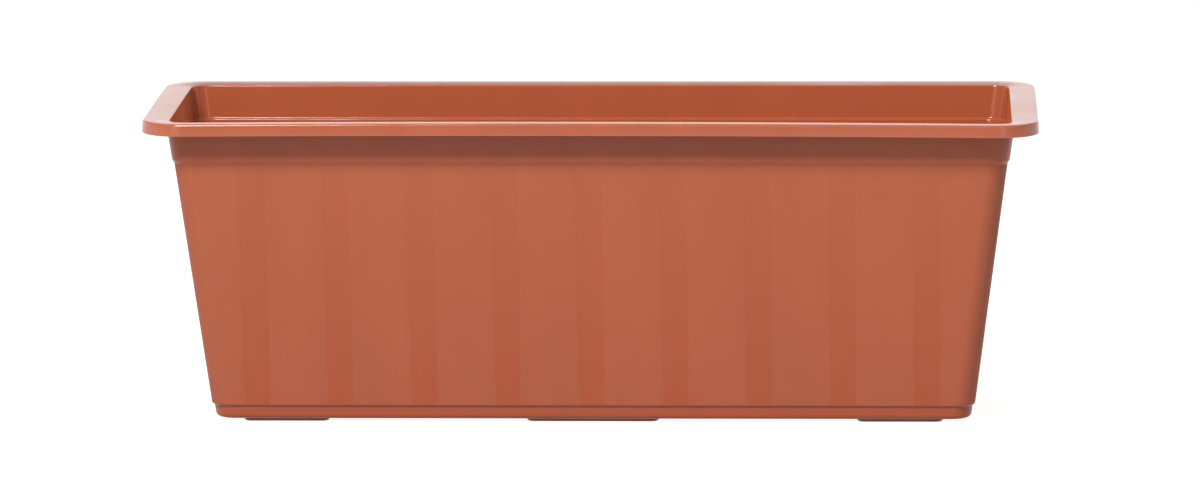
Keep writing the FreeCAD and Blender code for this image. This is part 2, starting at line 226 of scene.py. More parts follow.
# What each step follows, where it starts, where it ends, and its level at both places.
SOFT_STEPS = {
    "backdrop below its top edge": (rise, 0.22, 0.42, 1.0, 0.25),
    "backdrop only behind": (depth, -0.3, 0.3, 0.0, 1.0),
    "boxes above their foot": (rise, -0.1, 0.0, 0.0, 1.0),
    "boxes below their top": (rise, 0.75, 0.85, 1.0, 0.0),
    "left box, outer edge": (side, -0.75, -0.68, 0.0, 1.0),
    "left box, inner edge": (side, -0.32, -0.25, 1.0, 0.0),
    "right box, inner edge": (side, 0.22, 0.28, 0.0, 0.8),
    "right box, outer edge": (side, 0.55, 0.62, 1.0, 0.0),
    "scattered, by height": (rise, 0.0, 0.9, 0.60, 0.22),
    "scattered, from behind": (depth, 0.0, 0.6, 0.0, 0.5),
}
levels = {"dim room": 0.12, "camera ray": add(tree, "LightPath", {}, {}).outputs["Is Camera Ray"]}
for name, (value, start, end, first, last) in SOFT_STEPS.items():
    limits = {"Value": value, "From Min": start, "From Max": end, "To Min": first, "To Max": last}
    levels[name] = add(tree, "MapRange", {"interpolation_type": "SMOOTHSTEP"}, limits).outputs[0]
print("soft steps:", len(SOFT_STEPS))

# %% Put the steps together
# Each level is worked out from two that are already there.
JOINED = {
    "backdrop": ("MULTIPLY", "backdrop below its top edge", "backdrop only behind"),
    "box height": ("MULTIPLY", "boxes above their foot", "boxes below their top"),
    "left box": ("MULTIPLY", "left box, outer edge", "left box, inner edge"),
    "right box": ("MULTIPLY", "right box, inner edge", "right box, outer edge"),
    "box widths": ("ADD", "left box", "right box"),
    "boxes": ("MULTIPLY", "box widths", "box height"),
    "bright places": ("MAXIMUM", "backdrop", "boxes"),
    "room": ("MAXIMUM", "bright places", "dim room"),
    "seen": ("MAXIMUM", "room", "camera ray"),
    "scattered": ("ADD", "scattered, by height", "scattered, from behind"),
}
for name, (operation, first, second) in JOINED.items():
    both = {0: levels[first], 1: levels[second]}
    levels[name] = add(tree, "Math", {"operation": operation}, both).outputs[0]
# The mix takes its first shader where the white's share is 0, and its second where it is 1.
shaders = {0: white_share}
for place, name in ((1, "scattered"), (2, "seen")):
    light = add(tree, "Background", {}, {"Color": WHITE, "Strength": levels[name]})
    shaders[place] = light.outputs[0]
mixed = add(tree, "MixShader", {}, shaders)
add(tree, "OutputWorld", {}, {"Surface": mixed.outputs[0]})
print("world:", len(tree.nodes), "nodes")

# %% [markdown]
# ## The paper floor
#
# The box stands on a sheet of white paper. A plain white floor would need a strong lamp to look
# white, so the sheet glows a little less than white where it is seen or mirrored, and a grey that
# takes the lamp's light is added to it, which is what the shadow darkens. Scattered light meets a
# plain grey, so the paper's glow reaches the object only as a reflection.

# %% White paper
GREY_FOR_SCATTER = 0.27
GREY_FOR_SHADOW = 0.25
PAPER_GLOW = 0.92
paper = bpy.data.materials.new("white_studio_paper")
paper.use_nodes = True
tree = paper.node_tree
tree.nodes.clear()
plain = add(tree, "BsdfDiffuse", {}, {"Color": (*[GREY_FOR_SCATTER] * 3, 1.0)})
lit = add(tree, "BsdfDiffuse", {}, {"Color": (*[GREY_FOR_SHADOW] * 3, 1.0)})
glow = add(tree, "Emission", {}, {"Color": WHITE, "Strength": PAPER_GLOW})
shown = add(tree, "AddShader", {}, {0: lit.outputs[0], 1: glow.outputs[0]})
share = seen_or_mirrored(tree)
sheet = add(tree, "MixShader", {}, {0: share, 1: plain.outputs[0], 2: shown.outputs[0]})
add(tree, "OutputMaterial", {}, {"Surface": sheet.outputs[0]})
print("paper:", len(tree.nodes), "nodes")

# %% The sheet
FLOOR_REACH = 12.0
corners = [(x * FLOOR_REACH, y * FLOOR_REACH, 0) for x, y in ((-1, -1), (1, -1), (1, 1), (-1, 1))]
floor_mesh = bpy.data.meshes.new("studio_floor")
floor_mesh.from_pydata(corners, [], [(0, 1, 2, 3)])
floor_mesh.materials.append(paper)
floor = bpy.data.objects.new("studio_floor", floor_mesh)
bpy.context.scene.collection.objects.link(floor)
print("the floor reaches", FLOOR_REACH, "m each way")

# %% [markdown]
# ## Key lamp
#
# One large soft lamp stands in front, above and a little to the left, and gives the blurred shadow
# under the rim. A sun lamp or a point lamp would draw that shadow with a hard edge. An area lamp of
# 1.4 by 1.2 m at a distance of 5 m blurs it by as much as the photograph shows.

# %% Soft box
# Height and side are angles as the object sees the lamp, where a minus is the left side.
KEY_HEIGHT = math.radians(44.6)
KEY_SIDE = math.radians(-21)
KEY_DISTANCE = 5.0
KEY_WIDTH, KEY_TALL = 1.4, 1.2
KEY_WATTS = 282.0
# The lamp aims this high above the ground, in metres, at about the middle of the box.
AIM_HEIGHT = 0.1
lamp = bpy.data.lights.new("soft_box", "AREA")
lamp.shape = "RECTANGLE"
lamp.size = KEY_WIDTH
lamp.size_y = KEY_TALL
lamp.energy = KEY_WATTS
key = bpy.data.objects.new("soft_box", lamp)
key.location = (KEY_DISTANCE * math.cos(KEY_HEIGHT) * math.sin(KEY_SIDE),
                -KEY_DISTANCE * math.cos(KEY_HEIGHT) * math.cos(KEY_SIDE),
                AIM_HEIGHT + KEY_DISTANCE * math.sin(KEY_HEIGHT))
key.rotation_euler = (math.pi / 2 - KEY_HEIGHT, 0.0, KEY_SIDE)
bpy.context.scene.collection.objects.link(key)
print("key lamp at", np.round(key.location, 2))

# %% [markdown]
# ## Camera
#
# The photograph looks at the front from a little above with a long lens. A camera could be moved
# by eye until the picture looks right. Here its place, its turn and its focal length come from a
# fit to the rim's corners, the walls' silhouettes, the base and the feet, so that the render and
# the photograph can be compared place by place.

# %% Camera
IMAGE_WIDTH, FOCAL_LENGTH_PIXELS, SENSOR_WIDTH = 1200.0, 7612.0, 36.0
CAMERA_PLACE = (0.1803, -4.2552, 0.76205)
YAW, PITCH, ROLL = math.radians(-2.390), math.radians(8.9575), math.radians(0.323)
camera_data = bpy.data.cameras.new("view")
camera_data.sensor_width = SENSOR_WIDTH
camera_data.lens = FOCAL_LENGTH_PIXELS / IMAGE_WIDTH * SENSOR_WIDTH
camera_data.clip_end = 60.0
camera = bpy.data.objects.new("view", camera_data)
ahead = np.array([math.sin(YAW) * math.cos(PITCH), math.cos(YAW) * math.cos(PITCH), -math.sin(PITCH)])
right = np.array([math.cos(YAW), -math.sin(YAW), 0.0])
down = np.cross(ahead, right)
across = math.cos(ROLL) * right + math.sin(ROLL) * down
up = math.sin(ROLL) * right - math.cos(ROLL) * down
turn = np.eye(4)
turn[:3, :3] = np.stack([across, up, -ahead], axis=1)
turn[:3, 3] = CAMERA_PLACE
# A plain list fills Blender's matrix column by column, so the rows are turned to columns.
camera.matrix_world = turn.T.tolist()
bpy.context.scene.collection.objects.link(camera)
bpy.context.scene.camera = camera
bpy.context.scene.view_settings.view_transform = "Standard"
print("camera looks along", np.round(ahead, 4), "with a lens of", round(camera_data.lens, 1), "mm")

# %% [markdown]
# ## Finishes
#
# The whole box is polypropylene coloured in the mass, and only the face of the mould tool differs from place
# to place. It could be one material with a painted map of roughness, but five plain materials can be given to
# faces by name and need no map: one for each of four ways the tool was finished, with the polish split in
# two. A polished core forms the inside and the rim, as a paler copy on the rim that is painted light and a
# darker copy inside that is painted shade. The field between the bands is spark-eroded. The collar, the
# gussets, the plugs and the bores come from plainly milled faces, and the bands, the base and the underside
# from milled faces smoothed with abrasive paper. The real colour is one, and grain and gloss change how it
# looks. On top of that, the field and the papered faces darken towards the ground as painted shade, and the
# papered faces turn a deeper orange there as a painted reflection of the shaded floor near the box.

# %% Patterns in the plastic
# Blender's noise lies mostly between these two values.
NOISE_RANGE = {"From Min": 0.3, "From Max": 0.7}
# Repeats to the metre. Pigment streaks are about 26 mm wide and 110 mm tall, the waves left by
# shrinkage about 45 mm, and the scuffs of handling about 17 mm.
STREAKS, WAVES, SCUFFS = (38.0, 38.0, 9.0), 22.0, 60.0
STREAK_DEPTH, ROUGHNESS_SPREAD = 0.04, 0.04
# Between these heights, in metres, the colour goes from the lower one to the upper one. A darker lower colour
# is painted shade towards the ground.
PAINTED_SHADE_HEIGHTS = {"From Min": 0.01, "From Max": 0.165}
POLYPROPYLENE_IOR = 1.49
COAT_ROUGHNESS = 0.08
print("streaks repeat every", [round(1000 / s) for s in STREAKS], "mm")


# %% Polypropylene
def polypropylene(name, rough, grain, grain_height, wave_height, specular, coat, upper, lower):
    """Terracotta-coloured polypropylene. The grain's size and both heights are in millimetres, and the colour
    is upper at the rim and lower at the ground. A darker lower colour is painted shade."""
    material = bpy.data.materials.new(name)
    material.use_nodes = True
    tree = material.node_tree
    tree.nodes.clear()
    place = add(tree, "TexCoord", {}, {}).outputs["Object"]
    level = add(tree, "SeparateXYZ", {}, {"Vector": place}).outputs["Z"]
    # Where the lower colour is darker than the upper one, this mix paints shade towards the ground.
    share = add(tree, "MapRange", {}, {"Value": level, **PAINTED_SHADE_HEIGHTS}).outputs[0]
    ends = {0: share, 6: linear(lower), 7: linear(upper)}
    mass = add(tree, "Mix", {"data_type": "RGBA"}, ends).outputs[2]
    # The pigment streaks make the colour a little deeper and paler in turn.
    stretched = add(tree, "Mapping", {}, {"Vector": place, "Scale": STREAKS}).outputs[0]
    streaks = add(tree, "TexNoise", {}, {"Vector": stretched, "Scale": 1.0, "Detail": 4.0}).outputs[0]
    limits = {"To Min": 1 - STREAK_DEPTH, "To Max": 1 + STREAK_DEPTH, **NOISE_RANGE}
    value = add(tree, "MapRange", {}, {"Value": streaks, **limits}).outputs[0]
    colour = add(tree, "HueSaturation", {}, {"Color": mass, "Value": value}).outputs[0]
    # The tool's grain, and over it the slow waves that bend the reflections.
    peel = add(tree, "TexNoise", {}, {"Vector": place, "Scale": 1000.0 / grain, "Detail": 3.0}).outputs[0]
    grained = add(tree, "Bump", {}, {"Height": peel, "Distance": grain_height * MM}).outputs[0]
    slow = add(tree, "TexNoise", {}, {"Vector": place, "Scale": WAVES, "Detail": 1.0}).outputs[0]
    bend = {"Height": slow, "Distance": wave_height * MM, "Normal": grained}
    waved = add(tree, "Bump", {}, bend).outputs[0]
    # Handling leaves the gloss uneven.
    scuffs = add(tree, "TexNoise", {}, {"Vector": place, "Scale": SCUFFS, "Detail": 6.0}).outputs[0]
    limits = {"To Min": rough - ROUGHNESS_SPREAD, "To Max": rough + ROUGHNESS_SPREAD, **NOISE_RANGE}
    gloss = add(tree, "MapRange", {}, {"Value": scuffs, **limits}).outputs[0]
    shader = add(tree, "BsdfPrincipled", {}, {
        "Base Color": colour, "Roughness": gloss, "IOR": POLYPROPYLENE_IOR, "Normal": waved,
        "Specular IOR Level": specular, "Coat Weight": coat, "Coat Roughness": COAT_ROUGHNESS})
    add(tree, "OutputMaterial", {}, {"Surface": shader.outputs[0]})
    print(f"{name}: {len(tree.nodes)} nodes")
    return material


# %% The five finishes
# The marks of spark erosion are about 0.3 mm on the real tool, those of a cutter about 0.5 mm and
# those of abrasive paper about 0.2 mm. They would vanish at this distance, so they are drawn at
# 1.1 and 1.6 mm. What hand polishing leaves is wider and very shallow, and is drawn at 2.5 mm.
# Name, roughness, grain's size and height, waves' height, specular level, coat, and two colours.
GLOSS_PAINTED_SHADE, RIM_PAINTED_LIGHT, MATTE, SMOOTH, PAPERED = range(5)
finishes = [
    # Polished: a clear gloss, in which the eye sees the room a little blurred. Its darker colour is painted
    # shade for the inside of the box.
    polypropylene("polished_inside_painted_shade", 0.13, 2.5, 0.002, 0.25, 0.5, 0.4, "#A65131", "#A65131"),
    # Polished rim: the same gloss on a paler colour, which is painted light where the rim faces the lamp, so
    # that the rim stands out as a pale frame.
    polypropylene("polished_rim_painted_light", 0.13, 2.5, 0.002, 0.25, 0.5, 0.4, "#B25F42", "#B25F42"),
    # Spark-eroded: a fine matte grain with no clear highlight, so that the field looks dry and even. Its
    # colour darkens towards the ground as painted shade.
    polypropylene("spark_eroded_polypropylene", 0.62, 1.1, 0.03, 0.10, 0.5, 0.0, "#B25C3C", "#AA573A"),
    # Milled: a soft sheen along the collar, which brings out its rounded edge.
    polypropylene("milled_polypropylene", 0.32, 1.6, 0.006, 0.15, 0.42, 0.0, "#B95D3B", "#B95D3B"),
    # Papered: a satin face, a little darker than the field, so that the bands show as upright bars. Towards
    # the ground it is darker and a deeper orange, as painted shade and a painted reflection of the shaded
    # floor near the box.
    polypropylene("papered_polypropylene", 0.36, 1.6, 0.008, 0.15, 0.38, 0.0, "#B25D3F", "#A95131"),
]
print("finishes:", len(finishes))


# %% [markdown]
# ## The trough's cross-section
#
# The trough is a thin wall that turns over at the top into a flange and a lip. It could be
# modelled face by face, but the moulding is really one cross-section that runs all the way round.
# So the section is drawn once, as a line with a small curve at each corner. Each point holds how
# far it stands inside the rim, its height, and the radius that the outline has at the box's
# corners there.

# %% Helpers for a line
def wall(height, steps):
    """How far the wall's outer face stands inside the rim's outline: overhang + drop * slope + steps."""
    return OVERHANG + (TOP - height) * SLOPE + steps


def soften(corners, radii, steps):
    """Replaces each inner corner by the Bezier (1-t)^2 A + 2t(1-t) B + t^2 C, where B is the corner
    and A and C lie on its legs at radius / tan(half the angle between them)."""
    legs = [corners[:-2] - corners[1:-1], corners[2:] - corners[1:-1]]
    lengths = [np.linalg.norm(leg[:, :2], axis=1) for leg in legs]
    cosine = (legs[0][:, :2] * legs[1][:, :2]).sum(axis=1) / (lengths[0] * lengths[1])
    set_back = radii / np.tan(np.arccos(np.clip(cosine, -1, 1)) / 2)
    # Two corners share a run, and each may take nearly half of it. The first and the last run have
    # one corner, which may take nearly all.
    share = np.full((2, len(radii)), 0.48)
    share[0, 0] = share[1, -1] = 0.96
    set_back = np.minimum(set_back, np.minimum(*(share * lengths)))
    first, last = (corners[1:-1] + leg * (set_back / length)[:, None] for leg, length in zip(legs, lengths))
    t = np.linspace(0, 1, steps + 1)[None, :, None]
    curves = (1 - t) ** 2 * first[:, None] + 2 * t * (1 - t) * corners[1:-1, None] + t ** 2 * last[:, None]
    return np.vstack([corners[:1], curves.reshape(-1, corners.shape[1]), corners[-1:]])


def refine(points, longest):
    """Adds evenly spaced points on every run of a line that is longer than a length."""
    parts = np.ceil(np.linalg.norm(np.diff(points[:, :2], axis=0), axis=1) / longest).astype(int)
    parts = np.maximum(parts, 1)
    run = np.repeat(np.arange(len(parts)), parts)
    t = (np.arange(parts.sum()) - (np.cumsum(parts) - parts)[run]) / parts[run]
    return np.vstack([points[run] + (points[run + 1] - points[run]) * t[:, None], points[-1:]])


print("the wall leans in by", round(wall(0.0, 0.0) - wall(TOP, 0.0), 1), "mm from the top to the ground")

# %% Section line
BASE_STEPS = COLLAR_STEP + BASE_STEP
INNER_CORNER = BODY_CORNER - WALL
# The section ends this far in on each face of the floor, where the floor's own grid takes over.
FLOOR_RING, UNDER_RING = 2.9, 3.9
# The flange is dished: its inner edge lies lower than its crest. The lip flares out downwards.
DISH, FLARE, CREST = 0.9, 0.5, 7.5
CURVE_STEPS, LONGEST_RUN = 5, 16.0
inner_floor = wall(FLOOR_TOP, BASE_STEPS) + WALL
outer_floor = wall(FLOOR_UNDERSIDE, BASE_STEPS)
ledge_foot = LEDGE_TOP - LEDGE_BEVEL
# Inset, height, outline corner radius, and the radius that softens the corner of the section.
section = np.array([
    [inner_floor + FLOOR_RING, FLOOR_TOP, INNER_CORNER - FLOOR_RING, 0.0],
    [inner_floor, FLOOR_TOP, INNER_CORNER, 2.5],
    [wall(BASE_TOP, BASE_STEPS) + WALL, BASE_TOP, INNER_CORNER, 2.0],
    [wall(BODY_BOTTOM, COLLAR_STEP) + WALL, BODY_BOTTOM, INNER_CORNER, 2.0],
    [wall(ledge_foot, COLLAR_STEP) + WALL, ledge_foot, INNER_CORNER, 0.8],
    [wall(LEDGE_TOP, 0.0) + WALL, LEDGE_TOP, INNER_CORNER, 0.8],
    [wall(TOP, 0.0) + WALL, TOP - DISH, INNER_CORNER, 0.9],
    [CREST, TOP, RIM_CORNER - CREST, 30.0],
    [FLARE, TOP, RIM_CORNER - FLARE, 1.6],
    [0.0, LIP_BOTTOM, RIM_CORNER, 0.6],
    [WALL, LIP_BOTTOM, RIM_CORNER - WALL, 0.6],
    [WALL, FLANGE_UNDERSIDE, RIM_CORNER - WALL, 0.8],
    [wall(FLANGE_UNDERSIDE, 0.0), FLANGE_UNDERSIDE, BODY_CORNER, 0.8],
    [wall(COLLAR_BOTTOM, 0.0), COLLAR_BOTTOM, BODY_CORNER, 2.2],
    [wall(BODY_TOP, COLLAR_STEP), BODY_TOP, BODY_CORNER, 2.2],
    [wall(BODY_BOTTOM, COLLAR_STEP), BODY_BOTTOM, BODY_CORNER, 0.8],
    [wall(GROOVE_FOOT, BASE_STEPS), GROOVE_FOOT, BODY_CORNER, 0.6],
    [outer_floor, FLOOR_UNDERSIDE, BODY_CORNER, 3.3],
    [outer_floor + UNDER_RING, FLOOR_UNDERSIDE, BODY_CORNER - UNDER_RING, 0.0],
])
profile = refine(soften(section[:, :3], section[1:-1, 3], CURVE_STEPS), LONGEST_RUN)
print("section has", len(profile), "points")

# %% [markdown]
# ## Lines along the walls
#
# The walls have upright bands, and the floor has feet and drain holes. Each could have a fine grid
# of its own, but grids that differ can't be welded. So the wall and the floor share one set of
# lines along X and one along Y, and the lines gather where something happens: at the edges of the
# bands, round the feet and round the drain holes.

# %% Where the bands, feet and holes are
BAND_HALF, BAND_PITCH, BAND_DEPTH = 7.5, 47.0, 0.15
side_bands = (np.arange(9) - 4) * BAND_PITCH
end_bands = (np.arange(2) - 0.5) * BAND_PITCH
# Middle and half length of the middle foot and of an end foot, then the same across the box.
FEET_X = np.array([[0.0, 36.5], [172.54, 23.5]])
FOOT_Y, FOOT_HALF_Y, FOOT_CORNER = 37.5, 9.0, 4.0
HOLES_X, HOLES_Y = np.array([-130.0, 0.0, 130.0]), np.array([-16.0, 16.0])
# A hole's radius, and half the side of the square patch round it.
HOLE_RADIUS, HOLE_PATCH = 6.0, 10.0
print(len(side_bands), "bands on a side,", len(end_bands), "on an end,", HOLES_X.size * HOLES_Y.size, "holes")

# %% Shared lines
# Distances from a band's edge, and from a foot's edge, where minus is inside the foot.
at_edge = np.array([-0.5, 0.0, 0.5])
at_foot = np.array([-4.0, -2.8, -1.9, -1.3, -0.7, 0.0, 0.6, 1.1, 1.6, 2.0])
# A square patch is cut at even angles, so that its lines lead evenly to the round hole.
at_hole = HOLE_PATCH * np.tan(np.radians(np.linspace(-45, 45, 11)))
# Lines nearer than this would leave slivers between them.
NEAREST = 0.12
# How far the lines reach from the middle, and how far apart they are at most.
X_LIMIT, X_STEP = 200.0, 13.0
Y_LIMIT, Y_STEP = 40.4, 10.0


def shared_lines(bands, foot_edges, holes, limit, step):
    """All places of interest along one axis, sorted, mirrored, and none nearer than the nearest."""
    edges = np.concatenate([bands - BAND_HALF, bands + BAND_HALF])
    lines = np.concatenate([
        (edges[:, None] + at_edge).ravel(),
        (foot_edges[0][:, None] - at_foot).ravel(),
        (foot_edges[1][:, None] + at_foot).ravel(),
        (holes[:, None] + at_hole).ravel(),
        np.arange(0, limit, step)])
    lines = np.unique(np.round(np.concatenate([lines, -lines]), 4))
    lines = lines[np.abs(lines) < limit]
    half = lines[lines >= 0]
    half = half[np.concatenate([[True], np.diff(half) > NEAREST])]
    return np.unique(np.concatenate([half, -half]))


foot_x_edges = [FEET_X[:, 0] - FEET_X[:, 1], FEET_X[:, 0] + FEET_X[:, 1]]
foot_y_edges = [np.array([FOOT_Y - FOOT_HALF_Y]), np.array([FOOT_Y + FOOT_HALF_Y])]
X_LINES = shared_lines(side_bands, foot_x_edges, HOLES_X, X_LIMIT, X_STEP)
Y_LINES = shared_lines(end_bands, foot_y_edges, HOLES_Y, Y_LIMIT, Y_STEP)
print(len(X_LINES), "lines along the box and", len(Y_LINES), "across it")

# %% [markdown]
# ## Walls, rim and bands
#
# The walls, the rim and the bands are one surface of the moulding. A curve with a bevel profile
# could sweep the section round, but its corners would pinch. So each row of the section goes round
# a rounded rectangle of its own: four straights and four quarter circles. A band is a place where
# the wall stands 0.15 mm further in, with a soft edge, as a mould insert leaves it. The front of
# the rim is a little lower towards its ends, as on a moulding that settled while it cooled.

# %% Soft edges and a settled rim
CORNER_STEPS = 16
# How much the rim drops at its ends, how much more at the right and less at the left, and how far
# from the middle that is.
DROP, TILT, DROP_HALF = 0.9, 0.35, 236.0
# Nothing drops behind the first place or below the first height, and the drop is full this far on.
FADE_BACK, FADE_DEPTH = 20.0, 80.0
FADE_LOW, FADE_HEIGHT = 145.0, 22.0
# Half the width of a band's soft edge.
EDGE_HALF = 0.5


def smooth_step(t):
    """3t^2 - 2t^3 with t held between 0 and 1."""
    t = np.clip(t, 0, 1)
    return t * t * (3 - 2 * t)


def settled(points):
    """Lowers the front of the rim towards its ends by drop * u^2 + tilt * u millimetres, never less
    than nothing, where u runs along the box; the share fades towards the back and down the wall."""
    u = points[..., 0] / DROP_HALF
    share = smooth_step((FADE_BACK - points[..., 1]) / FADE_DEPTH)
    share = share * smooth_step((points[..., 2] - FADE_LOW) / FADE_HEIGHT)
    lowered = points.copy()
    lowered[..., 2] -= np.clip(DROP * u ** 2 + TILT * u, 0.0, None) * share
    return lowered


def in_band(places, bands):
    """1 inside a band, 0 outside, and a smooth step 1 mm wide at its edges."""
    gap = np.abs(places[:, None] - bands[None, :]).min(axis=1)
    return smooth_step(BAND_HALF + EDGE_HALF - gap)


print("lines inside a band:", int((in_band(X_LINES, side_bands) > 0.5).sum()))

# %% Rows of the section
# The bands begin this far inside the body's two ends, and reach their full depth over this height.
BAND_FOOT, BAND_HEAD, BAND_FADE = 0.4, 0.2, 1.2
rows = np.arange(len(profile))
inset, height, radius = profile.T[:, :, None]
# The line runs up the inside and over the rim. What follows the lip's lower edge is outside.
lip_edge = np.argmax((height[:, 0] < LIP_BOTTOM + 0.1) & (inset[:, 0] < WALL / 2))
outside = (rows > lip_edge)[:, None]
above_foot = smooth_step((height - BODY_BOTTOM - BAND_FOOT) / BAND_FADE)
below_head = smooth_step((BODY_TOP - BAND_HEAD - height) / BAND_FADE)
body = above_foot * below_head * outside
print("rows outside:", int(outside.sum()), "of", len(rows))

# %% Carry the section round
angles = (np.arange(1, CORNER_STEPS) / CORNER_STEPS * math.pi / 2)[None, :]
x_columns, y_columns, band_columns = [], [], []
for quarter, (cosine, sine) in enumerate([(1, 0), (0, 1), (-1, 0), (0, -1)]):
    half_along, half_across = ((HALF_LENGTH, HALF_WIDTH), (HALF_WIDTH, HALF_LENGTH))[quarter % 2]
    lines, bands = ((X_LINES, side_bands), (Y_LINES, end_bands))[quarter % 2]
    flat = half_along - inset - radius
    out = half_across - inset
    # One straight of the rounded rectangle, and after it one quarter circle.
    band = np.concatenate([[0.0], in_band(lines, bands), [0.0]])[None, :]
    straight = np.hstack([-flat, np.broadcast_to(lines, (len(rows), len(lines))), flat])
    along = np.hstack([straight, flat + radius * np.sin(angles)])
    away = np.hstack([out - BAND_DEPTH * band * body, out - radius + radius * np.cos(angles)])
    x_columns.append(cosine * along + sine * away)
    y_columns.append(sine * along - cosine * away)
    band_columns.append(np.hstack([band * body, np.zeros((len(rows), CORNER_STEPS - 1))]))
wall_x = np.hstack(x_columns)
wall_y = np.hstack(y_columns)
walls = settled(np.stack([wall_x, wall_y, np.broadcast_to(height, wall_x.shape)], axis=2))
banded = np.hstack(band_columns)
print("walls:", walls.shape)

# %% [markdown]
# ## Which face has which finish
#
# The real tool changes its finish at edges that can be seen, such as the foot of the collar and the sides of
# a band. At the rim's inner edge the polish itself stays the same, and the rim's painted light gives way to
# the painted shade of the inside. The finishes could be painted as a mask, but each face already knows where
# it lies. So a few rules give a face its finish from its height, its distance from the rim's outline and its
# share of a band, and the first rule that holds decides.

# %% Finish of each wall face
# Faces on the small curve past an edge still count with it, up to these distances.
EDGE_MARGIN, RIM_MARGIN = 0.3, 0.5
next_column = np.roll(banded, -1, axis=1)
face_band = (banded[:-1] + banded[1:] + next_column[:-1] + next_column[1:]) / 4
face_height = (height[:-1] + height[1:]) / 2
below_collar = outside[:-1] & (face_height < BODY_TOP + EDGE_MARGIN)
field = below_collar & (face_height > BODY_BOTTOM - EDGE_MARGIN) & (face_band < 0.5)
# The rim takes the paler copy of the polish, which is painted light, and the rest of the inside takes the
# darker copy, which is painted shade.
on_rim = inset[:-1] < wall(TOP, 0.0) + WALL - RIM_MARGIN
rules = [(field, MATTE), (below_collar, PAPERED), (outside[:-1], SMOOTH), (on_rim, RIM_PAINTED_LIGHT)]
wall_finish = np.select([rule for rule, _ in rules], [finish for _, finish in rules], GLOSS_PAINTED_SHADE)
wall_surface = (walls, quads(*walls.shape[:2], closed=True), wall_finish.ravel())
print("wall faces of each finish:", np.bincount(wall_finish.ravel(), minlength=len(finishes)))

# %% [markdown]
# ## Floor and feet
#
# The floor is a sheet pressed down at six places, so that the feet are hollow from above and the
# sheet keeps its thickness. Boolean cubes could cut the feet, but they leave hard edges and uneven
# faces. So both faces of the floor are height maps: the height depends only on the distance to the
# nearest foot's outline. At the floor's corners the grid is bent from a square to a quarter circle.

# %% Height maps over the shared lines
FOOT_HEIGHT = 2.2
# Over that height a foot's side runs out this far, 35 degrees from the upright. It is mostly
# straight, and the rest rounds off its two ends.
FOOT_RUN = 1.54
STRAIGHT_SHARE, ROUNDED_SHARE = 0.7, 0.3
# The hollow's side starts this far inside the foot's outline, which keeps the floor's thickness.
HOLLOW_START = -1.04


def foot_distance(x, y):
    """Signed distance to the nearest foot's outline: |max(q, 0)| + min(max(q), 0) - corner radius,
    where q is how far a point lies outside the rectangle between the corner centres."""
    middles, halves = FEET_X.T[:, :, None, None]
    qx = np.abs(np.abs(x)[None] - middles) - (halves - FOOT_CORNER)
    qy = (np.abs(np.abs(y) - FOOT_Y) - (FOOT_HALF_Y - FOOT_CORNER))[None]
    outer = np.hypot(np.maximum(qx, 0), np.maximum(qy, 0))
    return (outer + np.minimum(np.maximum(qx, qy), 0) - FOOT_CORNER).min(axis=0)


def floor_sheet(outline_inset, corner, level, slope_start):
    """The grid of points of one face of the floor; square corners are bent into quarter circles by
    (u, v) -> (u sqrt(1 - v^2 / 2), v sqrt(1 - u^2 / 2))."""
    bend = math.sqrt(2) * np.sin(np.linspace(0, math.pi / 4, CORNER_STEPS // 2 + 1))
    grids, flats = [], []
    for half, lines in ((HALF_LENGTH, X_LINES), (HALF_WIDTH, Y_LINES)):
        flat = half - outline_inset - corner
        grids.append(np.concatenate([-(flat + corner * bend)[::-1], lines, flat + corner * bend]))
        flats.append(flat)
    gx, gy = np.meshgrid(*grids, indexing="ij")
    u = np.maximum(np.abs(gx) - flats[0], 0) / corner
    v = np.maximum(np.abs(gy) - flats[1], 0) / corner
    x = np.where(u > 0, np.sign(gx) * (flats[0] + corner * u * np.sqrt(1 - v ** 2 / 2)), gx)
    y = np.where(v > 0, np.sign(gy) * (flats[1] + corner * v * np.sqrt(1 - u ** 2 / 2)), gy)
    rise = np.clip((foot_distance(x, y) - slope_start) / FOOT_RUN, 0, 1)
    z = level - FOOT_HEIGHT * (1 - (STRAIGHT_SHARE * rise + ROUNDED_SHARE * smooth_step(rise)))
    return np.stack([x, y, z], axis=2), grids


foot_middle = foot_distance(np.array([[0.0]]), np.array([[FOOT_Y]]))
print("a foot's middle lies", -foot_middle.item(), "mm inside its outline")

# %% Both faces of the floor
def without_holes(points, grids):
    """The quads of a floor sheet, less those inside the square patches round the drain holes."""
    middles = [(grid[:-1] + grid[1:]) / 2 for grid in grids]
    near_x = (np.abs(middles[0][:, None] - HOLES_X) < HOLE_PATCH).any(axis=1)
    near_y = (np.abs(middles[1][:, None] - HOLES_Y) < HOLE_PATCH).any(axis=1)
    keep = ~(near_x[:, None] & near_y[None, :])
    return quads(*points.shape[:2], closed=False)[keep.ravel()]


floor_surfaces = []
for outline_inset, corner, level, slope_start, finish in (
        (inner_floor + FLOOR_RING, INNER_CORNER - FLOOR_RING, FLOOR_TOP, HOLLOW_START, GLOSS_PAINTED_SHADE),
        (outer_floor + UNDER_RING, BODY_CORNER - UNDER_RING, FLOOR_UNDERSIDE, 0.0, PAPERED)):
    sheet_points, sheet_grids = floor_sheet(outline_inset, corner, level, slope_start)
    floor_surfaces.append((sheet_points, without_holes(sheet_points, sheet_grids), finish))
    print("floor sheet:", sheet_points.shape, "lowest point", round(sheet_points[..., 2].min(), 2), "mm")

# %% [markdown]
# ## Drain holes
#
# Each drain hole is a round bore through the floor with a small rounded edge. A Boolean would cut
# it, but would leave long thin triangles round it. So each hole has a patch of its own that runs
# from a square in the upper grid to a circle, down through the floor, and out to the same square
# in the lower grid. The patch ends on points that both grids already have, so it welds.

# %% Drain hole patches
# How far each ring of an edge stands outside the bore, and how far it lies behind the face.
EDGE_RINGS = np.array([[1.0, 0.0], [0.3, 0.0], [0.08, 0.08], [0.0, 0.3]])


